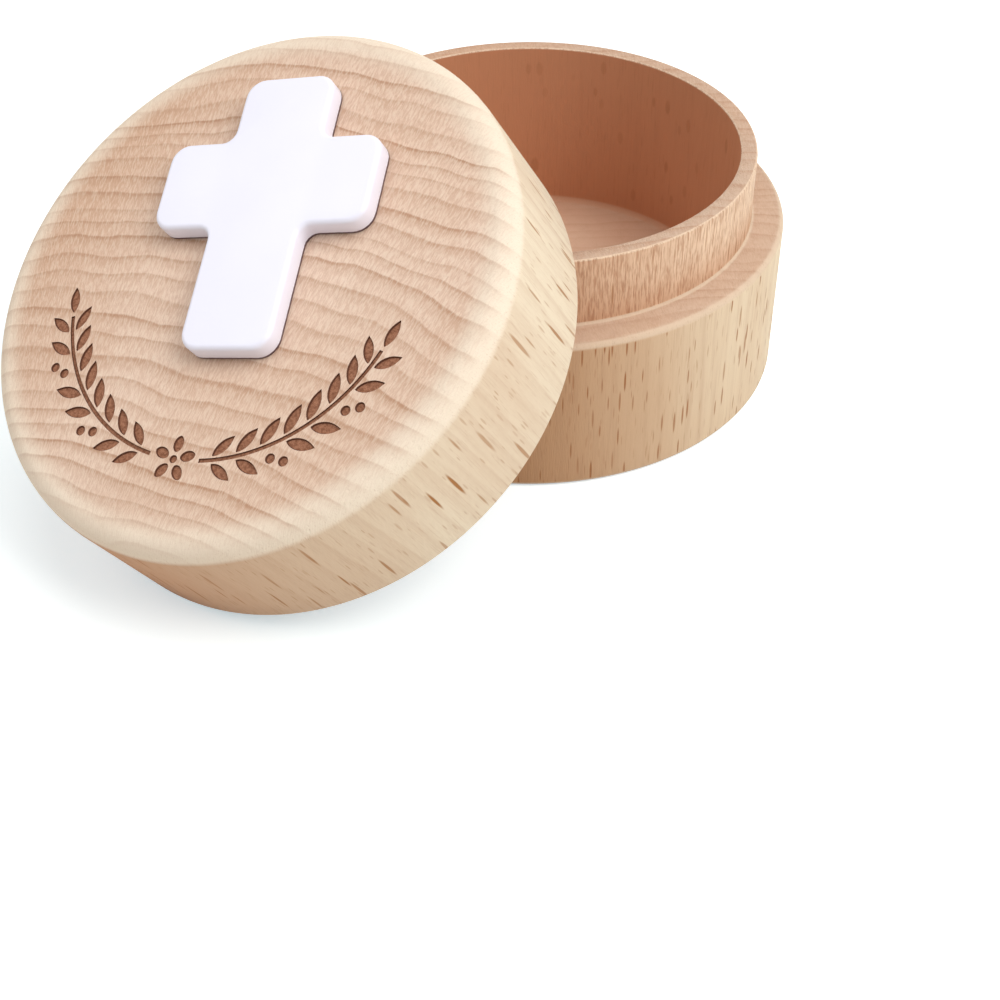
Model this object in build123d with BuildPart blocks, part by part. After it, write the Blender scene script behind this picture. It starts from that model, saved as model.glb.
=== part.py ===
"""Round keepsake box for a rosary, turned from beech, with a lift-off lid and a glued cross.

Three pieces: the base with its raised collar, the lid with the recess that drops over
that collar, and the painted cross on the lid.  The lid is modelled taken off, standing on
its lower edge and leaning against the collar.

Millimetres.  The origin is the centre of the base's underside, +Z runs up the base's axis
and the lid leans out towards -Y.
"""

from build123d import *
from math import cos, pi, radians, sin
import os

# ---- both halves ---------------------------------------------------------------------
box_diameter = 70.0        # straight outside wall of the base, and the lid at its mouth
edge_break = 0.3           # sanding of every crisp corner, both ways from the corner

# ---- base ----------------------------------------------------------------------------
shoulder_height = 22.0     # underside to the shoulder that the lid closes on
shoulder_round = 1.0       # worn outer edge of the shoulder
foot_chamfer = 0.7         # lower outer edge
collar_height = 9.4        # shoulder to the top of the collar
collar_diameter = 61.2     # outside of the collar
collar_wall = 2.2          # thickness of the collar
cove_slope = 0.5           # corner left by the tool where the collar meets the shoulder
floor_thickness = 6.0      # wood left under the hollow
floor_chamfer = 1.0        # inside corner between wall and floor

# ---- lid -----------------------------------------------------------------------------
lid_height = 18.5          # mouth to cross face
lid_draw_in = 0.5          # how much the lid's side closes in by the top, on the radius
lid_round = 2.6            # soft upper edge of the lid
recess_clearance = 0.2     # gap between collar and recess, on the radius
recess_spare = 0.8         # depth of the recess beyond the collar's height

# ---- cross ---------------------------------------------------------------------------
cross_length = 36.0        # top to bottom
cross_span = 28.8          # arm tip to arm tip
stem_width = 12.1          # the upright
arm_width = 11.6           # the crosspiece
head_length = 8.6          # what the upright shows above the crosspiece
cross_thickness = 2.6
cross_corner = 2.4         # outer corners, seen from above
cross_crook = 1.6          # inner corners, seen from above
cross_bevel = 0.6          # softened edge round the upper face
cross_up = 7.6             # centre of the cross from the lid's centre, towards its head
cross_aside = 1.9          # and to the right of it, as it was glued
cross_turn = 25.0          # how far the cross is turned from the way the lid leans

# ---- how the lid was put down ---------------------------------------------------------
lean_angle = 33.2          # the lid's axis from upright
lean_gap = 0.2             # free space where the lid's mouth lies on the collar

# ---- sizes that follow ----------------------------------------------------------------
box_radius = box_diameter / 2
collar_radius = collar_diameter / 2
bore_radius = collar_radius - collar_wall
collar_top = shoulder_height + collar_height
recess_radius = collar_radius + recess_clearance
recess_depth = collar_height + recess_spare
mouth_chamfer = cove_slope + recess_clearance
lid_top_radius = box_radius - lid_draw_in


# ---- where the leaning lid stands -----------------------------------------------------
lean = radians(lean_angle)
mouth_height = box_radius * sin(lean) - edge_break * min(sin(lean), cos(lean))
turn_steps = 90
ring_steps = 12
halvings = 40


def depth_into_mouth(reach, turn, radius):
    """How deep a point of the collar's upper face lies in the wood round the lid's mouth.

    reach is the distance between the base's axis and the centre of the mouth.  The point is
    at radius from the base's axis, in the direction turn from the way the lid leans.
    """
    along = radius * cos(turn) - reach
    aside = radius * sin(turn)
    above = collar_top - mouth_height
    in_plane = along * cos(lean) - above * sin(lean)
    inwards = along * sin(lean) + above * cos(lean)
    past_wall = (in_plane**2 + aside**2) ** 0.5 - recess_radius
    past_chamfer = (past_wall + inwards - mouth_chamfer) / 2**0.5
    return min(inwards, past_wall, past_chamfer)


def collar_gap(reach):
    """Smallest gap between the collar's upper face and the wood of the leaning lid."""
    turns = [pi / 2 * step / turn_steps for step in range(turn_steps + 1)]
    rings = [collar_radius - collar_wall * step / ring_steps for step in range(ring_steps + 1)]
    return -max(depth_into_mouth(reach, turn, ring) for turn in turns for ring in rings)


too_near = box_radius / 2
far_enough = 2 * box_radius
for halving in range(halvings):
    reach = (too_near + far_enough) / 2
    if collar_gap(reach) < lean_gap:
        too_near = reach
    else:
        far_enough = reach
lid_reach = far_enough

lid_axis = Vector(0, -sin(lean), cos(lean))
mouth_centre = Vector(0, -lid_reach, mouth_height)
lid_section = Plane(origin=mouth_centre, x_dir=(1, 0, 0), z_dir=Vector(1, 0, 0).cross(lid_axis))
lid_face_centre = mouth_centre + lid_axis * lid_height

os.makedirs("parts", exist_ok=True)


def corner_at(profile, x, y):
    """The corner of a profile that lies at the given point."""
    return profile.vertices().sort_by_distance((x, y, 0))[0]


# ---- base: turned in one piece ----------------------------------------------------------
with BuildPart() as base:
    with BuildSketch(Plane.XZ) as base_profile:
        with BuildLine():
            Polyline(
                (0, 0),
                (box_radius, 0),
                (box_radius, shoulder_height),
                (collar_radius, shoulder_height),
                (collar_radius, collar_top),
                (bore_radius, collar_top),
                (bore_radius, floor_thickness),
                (0, floor_thickness),
                close=True,
            )
        make_face()
        chamfer(corner_at(base_profile, box_radius, 0), length=foot_chamfer)
        fillet(corner_at(base_profile, box_radius, shoulder_height), radius=shoulder_round)
        chamfer(corner_at(base_profile, collar_radius, shoulder_height), length=cove_slope)
        chamfer(corner_at(base_profile, collar_radius, collar_top), length=edge_break)
        chamfer(corner_at(base_profile, bore_radius, collar_top), length=edge_break)
        chamfer(corner_at(base_profile, bore_radius, floor_thickness), length=floor_chamfer)
    revolve(axis=Axis.Z)

# ---- lid: turned in one piece, on its leaning axis --------------------------------------
with BuildPart() as lid:
    with BuildSketch(lid_section) as lid_profile:
        with BuildLine():
            Polyline(
                (0, recess_depth),
                (recess_radius, recess_depth),
                (recess_radius, 0),
                (box_radius, 0),
                (lid_top_radius, lid_height),
                (0, lid_height),
                close=True,
            )
        make_face()
        chamfer(corner_at(lid_profile, box_radius, 0), length=edge_break)
        fillet(corner_at(lid_profile, lid_top_radius, lid_height), radius=lid_round)
        chamfer(corner_at(lid_profile, recess_radius, 0), length=mouth_chamfer)
    revolve(axis=Axis(mouth_centre, lid_axis))

# ---- cross: cut from sheet, soft edges, glued flat on the lid ---------------------------
cross_right = Vector(1, 0, 0).rotate(Axis((0, 0, 0), lid_axis), cross_turn)
cross_plane = Plane(origin=lid_face_centre, x_dir=cross_right, z_dir=lid_axis)
arm_rise = cross_up + cross_length / 2 - head_length - arm_width / 2

with BuildPart() as cross:
    with BuildSketch(cross_plane) as cross_outline:
        with Locations((cross_aside, cross_up)):
            RectangleRounded(stem_width, cross_length, cross_corner)
        with Locations((cross_aside, arm_rise)):
            RectangleRounded(cross_span, arm_width, cross_corner)
        crossing = (cross_aside, arm_rise, 0)
        fillet(cross_outline.vertices().sort_by_distance(crossing)[:4], radius=cross_crook)
    extrude(amount=cross_thickness)
    upper_face = cross.faces().filter_by(cross_plane).sort_by(Axis(mouth_centre, lid_axis))[-1]
    chamfer(upper_face.edges(), length=cross_bevel)

# ---- write the pieces -------------------------------------------------------------------
base.part.label = "base"
lid.part.label = "lid"
cross.part.label = "cross"
base.part.color = Color(0.80, 0.62, 0.42)
lid.part.color = Color(0.84, 0.68, 0.50)
cross.part.color = Color(0.95, 0.94, 0.98)

export_step(base.part, "parts/base.step")
export_step(lid.part, "parts/lid.step")
export_step(cross.part, "parts/cross.step")

print(f"lid leans {lean_angle:.1f} deg, mouth centre {lid_reach:.3f} out and {mouth_height:.3f} up")
print(f"gap on the collar {collar_gap(lid_reach):.3f}, closed height {shoulder_height + lid_height:.1f}")
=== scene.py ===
"""Round beech keepsake box with its lid off and leaning on the collar, for studio rendering.

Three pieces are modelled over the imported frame: the turned base, the turned lid with the
garland burnt into its face, and the painted cross glued on it.  Lengths are metres, in the
frame's own axes; patterns are worked out in millimetres along each piece's own axis.
"""

import logging
import math
from dataclasses import dataclass, field, replace
from enum import Enum
from typing import Any, Callable, Optional, Union

import bmesh
import bpy
from mathutils import Matrix, Vector


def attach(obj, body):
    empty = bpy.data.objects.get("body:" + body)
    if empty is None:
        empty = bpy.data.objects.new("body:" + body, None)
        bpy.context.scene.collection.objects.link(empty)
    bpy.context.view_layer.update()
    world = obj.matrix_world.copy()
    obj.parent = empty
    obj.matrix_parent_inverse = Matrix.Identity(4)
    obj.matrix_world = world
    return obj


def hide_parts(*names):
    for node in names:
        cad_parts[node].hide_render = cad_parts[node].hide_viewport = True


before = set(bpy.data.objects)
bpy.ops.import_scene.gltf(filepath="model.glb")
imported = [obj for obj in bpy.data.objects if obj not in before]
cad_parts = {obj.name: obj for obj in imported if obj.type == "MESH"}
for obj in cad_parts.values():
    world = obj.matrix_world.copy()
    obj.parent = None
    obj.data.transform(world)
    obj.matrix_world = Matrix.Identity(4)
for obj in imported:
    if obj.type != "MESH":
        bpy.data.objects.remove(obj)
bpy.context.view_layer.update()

MM = 0.001
FULL_TURN = 2.0 * math.pi
Colour = tuple[float, float, float]
Number = Union[int, float]

log = logging.getLogger("keepsake_box")


class Body(Enum):
    """The moving bodies that pieces ride on."""

    BASE = "base"
    LID = "lid"


class Slot(Enum):
    """Material slots of the record."""

    BASE_WOOD = "turned_wood_base"
    LID_WOOD = "turned_wood_lid"
    CROSS_PAINT = "painted_cross"


# ---------------------------------------------------------------------------------------
# shader sheets
# ---------------------------------------------------------------------------------------


class Value:
    """One number or vector in a material; arithmetic on it adds Math nodes."""

    def __init__(self, sheet: "Sheet", socket: bpy.types.NodeSocket) -> None:
        """Wraps a socket.

        Args:
            sheet: The material sheet that the socket belongs to.
            socket: An output socket of one of its nodes.
        """
        self.sheet = sheet
        self.socket = socket

    def _math(self, operation: str, *terms: Any) -> "Value":
        """Adds one Math node.

        Args:
            operation: The node's operation.
            terms: Up to three numbers or values, in the node's order.

        Returns:
            The node's result.
        """
        node = self.sheet.node("ShaderNodeMath", {"operation": operation}, dict(enumerate(terms)))
        return Value(self.sheet, node.outputs[0])

    def __add__(self, other: Any) -> "Value":
        """Sum."""
        return self._math("ADD", self, other)

    __radd__ = __add__

    def __sub__(self, other: Any) -> "Value":
        """Difference."""
        return self._math("SUBTRACT", self, other)

    def __rsub__(self, other: Any) -> "Value":
        """Difference, from a number."""
        return self._math("SUBTRACT", other, self)

    def __mul__(self, other: Any) -> "Value":
        """Product."""
        return self._math("MULTIPLY", self, other)

    __rmul__ = __mul__

    def __truediv__(self, other: Any) -> "Value":
        """Quotient."""
        return self._math("DIVIDE", self, other)

    def __abs__(self) -> "Value":
        """Size without its sign."""
        return self._math("ABSOLUTE", self)

    def root(self) -> "Value":
        """Square root."""
        return self._math("SQRT", self)

    def whole(self) -> "Value":
        """Largest whole number that isn't above it."""
        return self._math("FLOOR", self)

    def part(self) -> "Value":
        """What is left above the whole number."""
        return self._math("FRACT", self)

    def angle_from(self, across: "Value") -> "Value":
        """Angle of the point (across, self), in radians."""
        return self._math("ARCTAN2", self, across)

    def most(self, other: Any) -> "Value":
        """The larger of two."""
        return self._math("MAXIMUM", self, other)

    def ease(self, low: Number, high: Number, out_low: Number = 0.0, out_high: Number = 1.0) -> "Value":
        """Smooth step.

        Args:
            low: Where the step starts.
            high: Where it ends; it may be below the start.
            out_low: Result at the start.
            out_high: Result at the end.

        Returns:
            The stepped value.
        """
        if low > high:
            low, high, out_low, out_high = high, low, out_high, out_low
        limits = {"Value": self, "From Min": low, "From Max": high, "To Min": out_low, "To Max": out_high}
        node = self.sheet.node("ShaderNodeMapRange", {"interpolation_type": "SMOOTHSTEP"}, limits)
        return Value(self.sheet, node.outputs[0])


class Sheet:
    """The node sheet of one material or of the surround."""

    def __init__(self, holder: Union[bpy.types.Material, bpy.types.World]) -> None:
        """Starts an empty sheet.

        Args:
            holder: The new material or world that the sheet belongs to.
        """
        self.holder = holder
        self.holder.use_nodes = True
        self.tree = self.holder.node_tree
        self.tree.nodes.clear()

    @classmethod
    def material(cls, name: str) -> "Sheet":
        """Starts the sheet of a new material."""
        return cls(bpy.data.materials.new(name))

    def node(
        self,
        kind: str,
        settings: Optional[dict[str, Any]] = None,
        inputs: Optional[dict[Any, Any]] = None,
    ) -> bpy.types.Node:
        """Adds any node.

        Args:
            kind: The node's type name.
            settings: Its properties, set first.
            inputs: Values or links by socket name or number.

        Returns:
            The new node.
        """
        node = self.tree.nodes.new(kind)
        for key, setting in (settings or {}).items():
            setattr(node, key, setting)
        for key, given in (inputs or {}).items():
            socket = node.inputs[key]
            if isinstance(given, Value):
                self.tree.links.new(given.socket, socket)
            elif isinstance(given, bpy.types.NodeSocket):
                self.tree.links.new(given, socket)
            elif socket.type == "RGBA" and len(given) == 3:
                socket.default_value = (*given, 1.0)
            else:
                socket.default_value = given
        return node

    def value(self, kind: str, settings: dict[str, Any], inputs: dict[Any, Any], output: Any = 0) -> Value:
        """Adds a node and returns one of its outputs as a value."""
        return Value(self, self.node(kind, settings, inputs).outputs[output])

    def point(self, across: Any, along: Any, up: Any) -> Value:
        """Joins three numbers into a point."""
        return self.value("ShaderNodeCombineXYZ", {}, {0: across, 1: along, 2: up})

    def split(self, point: Value) -> tuple[Value, Value, Value]:
        """The three numbers of a point."""
        node = self.node("ShaderNodeSeparateXYZ", {}, {0: point})
        return tuple(Value(self, output) for output in node.outputs)

    def in_cells(self, point: Value, cell: tuple[float, float, float]) -> Value:
        """A point measured in cells of a size."""
        return self.value("ShaderNodeVectorMath", {"operation": "DIVIDE"}, {0: point, 1: cell})

    def noise(self, point: Value, scale: float = 1.0, detail: float = 2.0, roughness: float = 0.5) -> Value:
        """Cloudy noise round 0.5.

        Args:
            point: Where it is read.
            scale: Number of swells in a unit.
            detail: Octaves.
            roughness: Strength of the finer octaves.

        Returns:
            The noise, 0 to 1.
        """
        inputs = {"Vector": point, "Scale": scale, "Detail": detail, "Roughness": roughness}
        return self.value("ShaderNodeTexNoise", {"noise_dimensions": "3D"}, inputs)

    def chance(self, number: Value) -> Value:
        """A fixed random number for each whole number."""
        return self.value("ShaderNodeTexWhiteNoise", {"noise_dimensions": "1D"}, {"W": number})

    def blend(self, share: Any, first: Any, second: Any) -> bpy.types.NodeSocket:
        """Blends two colours.

        Args:
            share: How much of the second shows.
            first: Colour or link.
            second: Colour or link.

        Returns:
            The colour socket.
        """
        settings = {"data_type": "RGBA", "blend_type": "MIX", "clamp_factor": True}
        inputs = {0: share, 6: first, 7: second}
        return self.node("ShaderNodeMix", settings, inputs).outputs[2]

    def finish(self, inputs: dict[str, Any], height: Optional[Value], depth: float) -> bpy.types.Material:
        """Ends the sheet with the shader.

        Args:
            inputs: Values or links of the Principled shader.
            height: Relief in millimetres, or nothing.
            depth: Strength of the relief.

        Returns:
            The finished material.
        """
        shader_inputs = dict(inputs)
        if height is not None:
            bump = {"Height": height, "Strength": depth, "Distance": MM}
            shader_inputs["Normal"] = self.node("ShaderNodeBump", {}, bump).outputs[0]
        shader = self.node("ShaderNodeBsdfPrincipled", {}, shader_inputs)
        self.node("ShaderNodeOutputMaterial", {}, {"Surface": shader.outputs[0]})
        return self.holder


# ---------------------------------------------------------------------------------------
# where pieces stand
# ---------------------------------------------------------------------------------------


@dataclass(frozen=True)
class Stand:
    """A piece's own axis: where its lower end is and how far it leans out towards -Y."""

    foot: tuple[float, float, float] = (0.0, 0.0, 0.0)
    lean: float = 0.0

    def matrix(self) -> Matrix:
        """From the piece's own axes to the frame's."""
        return Matrix.Translation(self.foot) @ Matrix.Rotation(self.lean, 4, "X")

    def own_point(self, sheet: Sheet) -> Value:
        """The shaded point in the piece's own axes, in millimetres."""
        source = sheet.node("ShaderNodeTexCoord").outputs["Object"]
        turn = Matrix.Rotation(-self.lean, 3, "X")
        shift = turn @ Vector(self.foot) / -MM
        inputs = {
            "Vector": source,
            "Location": shift,
            "Rotation": (-self.lean, 0.0, 0.0),
            "Scale": (1.0 / MM, 1.0 / MM, 1.0 / MM),
        }
        return sheet.value("ShaderNodeMapping", {"vector_type": "POINT"}, inputs)

    def own_normal(self, sheet: Sheet) -> Value:
        """The surface's normal in the piece's own axes."""
        source = sheet.node("ShaderNodeTexCoord").outputs["Normal"]
        inputs = {"Vector": source, "Rotation": (-self.lean, 0.0, 0.0)}
        return sheet.value("ShaderNodeMapping", {"vector_type": "VECTOR"}, inputs)

    def own_rise(self, sheet: Sheet) -> Value:
        """How much the surface faces along the piece's own axis, 0 to 1."""
        return abs(sheet.split(self.own_normal(sheet))[2])


# ---------------------------------------------------------------------------------------
# finishes
# ---------------------------------------------------------------------------------------


@dataclass(frozen=True)
class BeechTones:
    """Colours of one piece's wood, in linear light; the warm tone also serves for painted shade."""

    face: Colour
    side: Colour
    warm: Colour
    ring: Colour
    fleck: Colour
    edge: Colour


@dataclass(frozen=True)
class Swell:
    """One scale of unevenness in the wood; the size of its swells is in millimetres."""

    width: float
    length: float
    detail: float = 2.0
    roughness: float = 0.5

    def noise(self, sheet: Sheet, across: Value, along: Value, up: Value) -> Value:
        """Reads the unevenness at a point of the block.

        Args:
            sheet: The material sheet.
            across: Place across the fibres.
            along: Place across the fibres, the other way.
            up: Place along the fibres.

        Returns:
            The noise, 0 to 1.
        """
        place = sheet.point(across / self.width, along / self.width, up / self.length)
        return sheet.noise(place, 1.0, self.detail, self.roughness)


@dataclass(frozen=True)
class Figure:
    """What the wood shows at the shaded point, and the shade painted on it, each as a share from 0 to 1."""

    end_grain: Value
    side_grain: Value
    upright: Value
    edge: Value
    # painted shade with a warmer wood tone, darker towards one side
    warm_shaded_flank: Value
    left: Value
    # painted shade, darker towards the foot
    foot: Any
    rings: Value
    rays: Value
    flecks: Value
    specks: Value
    fibres: Value
    streaks: Value
    torn: Value
    cloud: Value


@dataclass(frozen=True)
class BeechFinish:
    """Bare sanded beech, as one block: rings round a far heart, rays across and flecks along, with shade
    painted in places.
    """

    name: str
    stand: Stand
    tones: BeechTones
    heart: tuple[float, float]
    seed: float
    fleck_cell: tuple[float, float, float]
    fleck_share: float
    fleck_strength: float
    # painted shade with a warmer wood tone: the side towards this bearing is darker and more orange, over
    # this reach in millimetres
    shaded_flank_reach: tuple[float, float]
    shaded_flank_bearing: float = math.radians(-115.0)
    ring_gap: float = 2.35
    ring_strength: float = 1.0
    ray_strength: float = 1.0
    streak_strength: float = 0.16
    # reach, in millimetres, over which the face takes the edge tone towards its rim
    rim: Optional[tuple[float, float]] = None
    fuzz: float = 0.0
    # painted shade: heights, in millimetres, over which the side grain darkens to the warm tone towards the
    # foot
    foot_shade: Optional[tuple[float, float]] = None
    relief: float = 0.35

    # swells of the figure
    FIBRES = Swell(0.16, 7.0, 2.0, 0.6)
    STREAKS = Swell(1.1, 30.0, 3.0, 0.6)
    TORN = Swell(0.26, 2.3, 2.0, 0.7)
    CLOUD = Swell(19.0, 45.0)
    BREAKS = Swell(4.5455, 90.909)
    # how the rings stray: swells, and how far each of them moves a ring
    STRAYS = (
        (Swell(35.714, 166.67, 1.0), 9.0),
        (Swell(9.0909, 83.333, 1.0), 1.9),
        (Swell(1.8182, 33.333), 0.35),
    )
    # rings set closer and wider by turns: how often, and by how many rings
    UNEVEN_OFTEN = 0.23
    UNEVEN_UP = 0.002
    UNEVEN_REACH = 2.4
    # late wood: where its line and its band start and end in a ring, and how dark they are
    LINE_START = (0.7, 0.88)
    BAND_START = (0.2, 0.85)
    RING_END = (1.0, 0.9)
    LINE_SHARE = 0.55
    BAND_SHARE = 0.6
    PALEST_RING = 0.4
    # rays: room that each has out from the heart, round it and along the fibres
    RAY_CELL = (0.9, 0.17, 1.5)
    # flecks: width in their cell and how much it varies, their soft edge, the palest of them
    FLECK_WIDTH = (0.18, 0.16)
    FLECK_EDGE = (1.0, 0.55)
    FLECK_BLUR = 0.02
    PALEST_FLECK = 0.5
    # small flecks between the large ones
    SPECK_CELL = (0.55, 0.42, 4.0)
    SPECK_SHARE = 0.8
    SPECK_STRENGTH = 0.4
    SPECK_SHIFT = 50.0
    # where noises start to show and where they show in full
    FIBRE_LIMITS = (0.52, 0.82)
    STREAK_LIMITS = (0.42, 0.8)
    TORN_LIMITS = (0.4, 0.68)
    CLOUD_LIMITS = (0.3, 0.75)
    BREAK_LIMITS = (0.25, 0.62, 0.4, 1.0)
    RAY_LIMITS = (0.36, 0.68)
    # the same for how far the surface faces along the fibres
    END_GRAIN_RISE = (0.55, 0.97)
    FLECKLESS_RISE = (0.06, 0.32)
    EDGE_SLOPE_RISE = (0.1, 0.45)
    FLAT_RISE = (0.99, 0.85)
    # the part of the face that is warmer, across the fibres, in millimetres
    LEFT_PART = (-3.5, -35.0)
    # how much of the edge tone the rounded edges and the face just inside them get; on the lid this paints
    # a highlight band
    EDGE_SHARE = 0.85
    RIM_SHARE = 0.8
    # shares of the tones: on side grain, and how much more on end grain
    RING_SHARE = (0.16, 0.5)
    RAY_SHARE = (0.05, 0.42)
    FIBRE_SHARE = (0.34, -0.1)
    RAY_MIDDLE = 0.42
    RAY_DEPTH = 1.2
    LEFT_SHARE = 0.5
    CLOUD_SHARE = 0.25
    FOOT_SHADE_SHARE = 0.5
    TORN_SHARE = 0.4
    # what sanding takes off rings and rays at the edges
    EDGE_ON_RINGS = 0.6
    EDGE_ON_RAYS = 0.7
    # relief, in millimetres
    FIBRE_RELIEF = 0.05
    FLECK_RELIEF = 0.08
    RAY_RELIEF = 0.045
    TORN_RELIEF = 0.16
    # sheen
    ROUGHNESS = 0.5
    RING_ROUGHNESS = 0.08
    FIBRE_ROUGHNESS = 0.14
    SPECULAR = 0.08

    def material(self) -> bpy.types.Material:
        """Paints the wood.

        Returns:
            The material, worked out in the block's own axes.
        """
        sheet = Sheet.material(self.name)
        figure = self._figure(sheet)
        rougher = figure.rings * self.RING_ROUGHNESS + figure.fibres * self.FIBRE_ROUGHNESS
        inputs = {
            "Base Color": self._colour(sheet, figure),
            "Roughness": rougher + self.ROUGHNESS,
            "Specular IOR Level": self.SPECULAR,
        }
        return sheet.finish(inputs, self._height(figure), self.relief)

    def _figure(self, sheet: Sheet) -> Figure:
        """Works out rings, rays, flecks and fibres.

        Args:
            sheet: The material sheet.

        Returns:
            The figure at the shaded point.
        """
        across, along, up = sheet.split(self.stand.own_point(sheet))
        seeded = up + self.seed
        rise = self.stand.own_rise(sheet)
        end_grain = rise.ease(*self.END_GRAIN_RISE)

        east = across - self.heart[0]
        north = along - self.heart[1]
        reach = (east * east + north * north).root()
        around = north.angle_from(east) * math.hypot(*self.heart)

        ring_place = (reach + self._stray(sheet, across, along, seeded)) / self.ring_gap
        uneven_place = sheet.point(ring_place * self.UNEVEN_OFTEN + self.seed, 0.0, up * self.UNEVEN_UP)
        ring_place = ring_place + sheet.noise(uneven_place, 1.0, 1.0) * self.UNEVEN_REACH

        fleck_place = sheet.point(reach, around, seeded)
        speck_place = sheet.point(reach + self.SPECK_SHIFT, around, seeded)
        breaks = self.BREAKS.noise(sheet, across, along, seeded)
        # painted shade with a warmer wood tone: darker towards one bearing round the axis
        towards = across * math.cos(self.shaded_flank_bearing) + along * math.sin(self.shaded_flank_bearing)
        return Figure(
            end_grain=end_grain,
            side_grain=1.0 - end_grain,
            upright=1.0 - rise.ease(*self.FLECKLESS_RISE),
            edge=self._edge(rise, across, along),
            warm_shaded_flank=towards.ease(*self.shaded_flank_reach),
            left=across.ease(*self.LEFT_PART),
            # painted shade, darker towards the foot
            foot=up.ease(*self.foot_shade) if self.foot_shade else 0.0,
            rings=self._rings(sheet, ring_place, breaks),
            rays=self._rays(sheet, fleck_place),
            flecks=self._flecks(sheet, fleck_place, self.fleck_cell, self.fleck_share),
            specks=self._flecks(sheet, speck_place, self.SPECK_CELL, self.SPECK_SHARE),
            fibres=self.FIBRES.noise(sheet, across, along, seeded),
            streaks=self.STREAKS.noise(sheet, across, along, seeded),
            torn=self.TORN.noise(sheet, across, along, seeded).ease(*self.TORN_LIMITS),
            cloud=self.CLOUD.noise(sheet, across, along, seeded),
        )

    def _colour(self, sheet: Sheet, figure: Figure) -> bpy.types.NodeSocket:
        """Lays the tones over each other, from the broad ones to the flecks.

        Args:
            sheet: The material sheet.
            figure: The figure at the shaded point.

        Returns:
            The colour socket.
        """
        tones = self.tones
        rings = figure.rings * self._share(figure, self.RING_SHARE)
        rings = rings * (1.0 - figure.edge * self.EDGE_ON_RINGS) * self.ring_strength
        rays = (figure.rays - self.RAY_MIDDLE) * self._share(figure, self.RAY_SHARE)
        rays = rays * (1.0 - figure.edge * self.EDGE_ON_RAYS) * self.ray_strength
        specks = figure.specks * figure.upright * (self.fleck_strength * self.SPECK_STRENGTH)
        fibres = figure.fibres.ease(*self.FIBRE_LIMITS) * self._share(figure, self.FIBRE_SHARE)
        layers = [
            # painted shade with a warmer wood tone, on one side
            (figure.warm_shaded_flank, tones.warm),
            (figure.end_grain, tones.face),
            (figure.left * figure.end_grain * self.LEFT_SHARE, tones.warm),
            (figure.cloud.ease(*self.CLOUD_LIMITS) * self.CLOUD_SHARE, tones.warm),
            (figure.streaks.ease(*self.STREAK_LIMITS) * self.streak_strength, tones.ring),
            (figure.edge, tones.edge),
            (rings, tones.ring),
            (rays.most(0.0), tones.edge),
            ((rays * -self.RAY_DEPTH).most(0.0), tones.ring),
            (fibres, tones.ring),
            # painted shade at the collar's foot, where it meets the shoulder
            (figure.foot * figure.side_grain * self.FOOT_SHADE_SHARE, tones.warm),
            (figure.torn * figure.side_grain * (self.fuzz * self.TORN_SHARE), tones.ring),
            (specks, tones.fleck),
            (figure.flecks * figure.upright * self.fleck_strength, tones.fleck),
        ]
        colour = tones.side
        for share, tone in layers:
            colour = sheet.blend(share, colour, tone)
        return colour

    def _height(self, figure: Figure) -> Value:
        """Relief of the sanded surface, in millimetres."""
        raised = figure.fibres * self.FIBRE_RELIEF + figure.rays * self.RAY_RELIEF
        return raised - figure.flecks * self.FLECK_RELIEF - figure.torn * (self.TORN_RELIEF * self.fuzz)

    @staticmethod
    def _share(figure: Figure, limits: tuple[float, float]) -> Value:
        """A share that differs between side grain and end grain."""
        on_side, more_on_end = limits
        return figure.end_grain * more_on_end + on_side

    def _edge(self, rise: Value, across: Value, along: Value) -> Value:
        """How much of the edge tone the rounded edges get, and the face just inside them."""
        sloped_edge = rise.ease(*self.EDGE_SLOPE_RISE)
        pale = sloped_edge * rise.ease(*self.FLAT_RISE) * self.EDGE_SHARE
        if self.rim:
            reach = (across * across + along * along).root()
            pale = pale.most(reach.ease(*self.rim) * sloped_edge * self.RIM_SHARE)
        return pale

    def _stray(self, sheet: Sheet, across: Value, along: Value, up: Value) -> Value:
        """How far the rings stray from true circles, in millimetres."""
        parts = [(swell.noise(sheet, across, along, up) - 0.5) * far for swell, far in self.STRAYS]
        return sum(parts[1:], parts[0])

    def _rings(self, sheet: Sheet, ring_place: Value, breaks: Value) -> Value:
        """Late wood: a band that darkens outwards and ends in a thin, broken line."""
        step = ring_place.part()
        weight = sheet.chance(ring_place.whole()) * (1.0 - self.PALEST_RING) + self.PALEST_RING
        end = step.ease(*self.RING_END)
        line = step.ease(*self.LINE_START) * end * breaks.ease(*self.BREAK_LIMITS) * self.LINE_SHARE
        band = step.ease(*self.BAND_START) * end * self.BAND_SHARE
        return (line + band) * weight

    def _rays(self, sheet: Sheet, place: Value) -> Value:
        """Fine rays, lying out from the heart."""
        grain = sheet.noise(sheet.in_cells(place, self.RAY_CELL), 1.0, 1.5, 0.6)
        return grain.ease(*self.RAY_LIMITS)

    def _flecks(self, sheet: Sheet, place: Value, cell: tuple[float, float, float], share: float) -> Value:
        """Broad rays seen end on: short dark spindles along the fibres.

        Args:
            sheet: The material sheet.
            place: Reach, way round and height, in millimetres.
            cell: Room that each fleck has, the same three ways.
            share: How many of the cells hold a fleck.

        Returns:
            How dark the flecks are.
        """
        cells = sheet.node(
            "ShaderNodeTexVoronoi",
            {"voronoi_dimensions": "3D", "feature": "F1"},
            {"Vector": sheet.in_cells(place, cell), "Scale": 1.0, "Randomness": 1.0},
        )
        distance = Value(sheet, cells.outputs["Distance"])
        presence, girth, darkness = sheet.split(Value(sheet, cells.outputs["Color"]))
        width, spread = self.FLECK_WIDTH
        spindle = (distance / (girth * spread + width)).ease(*self.FLECK_EDGE)
        absent = 1.0 - share
        present = presence.ease(absent - self.FLECK_BLUR, absent + self.FLECK_BLUR)
        return spindle * present * (darkness * (1.0 - self.PALEST_FLECK) + self.PALEST_FLECK)


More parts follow.
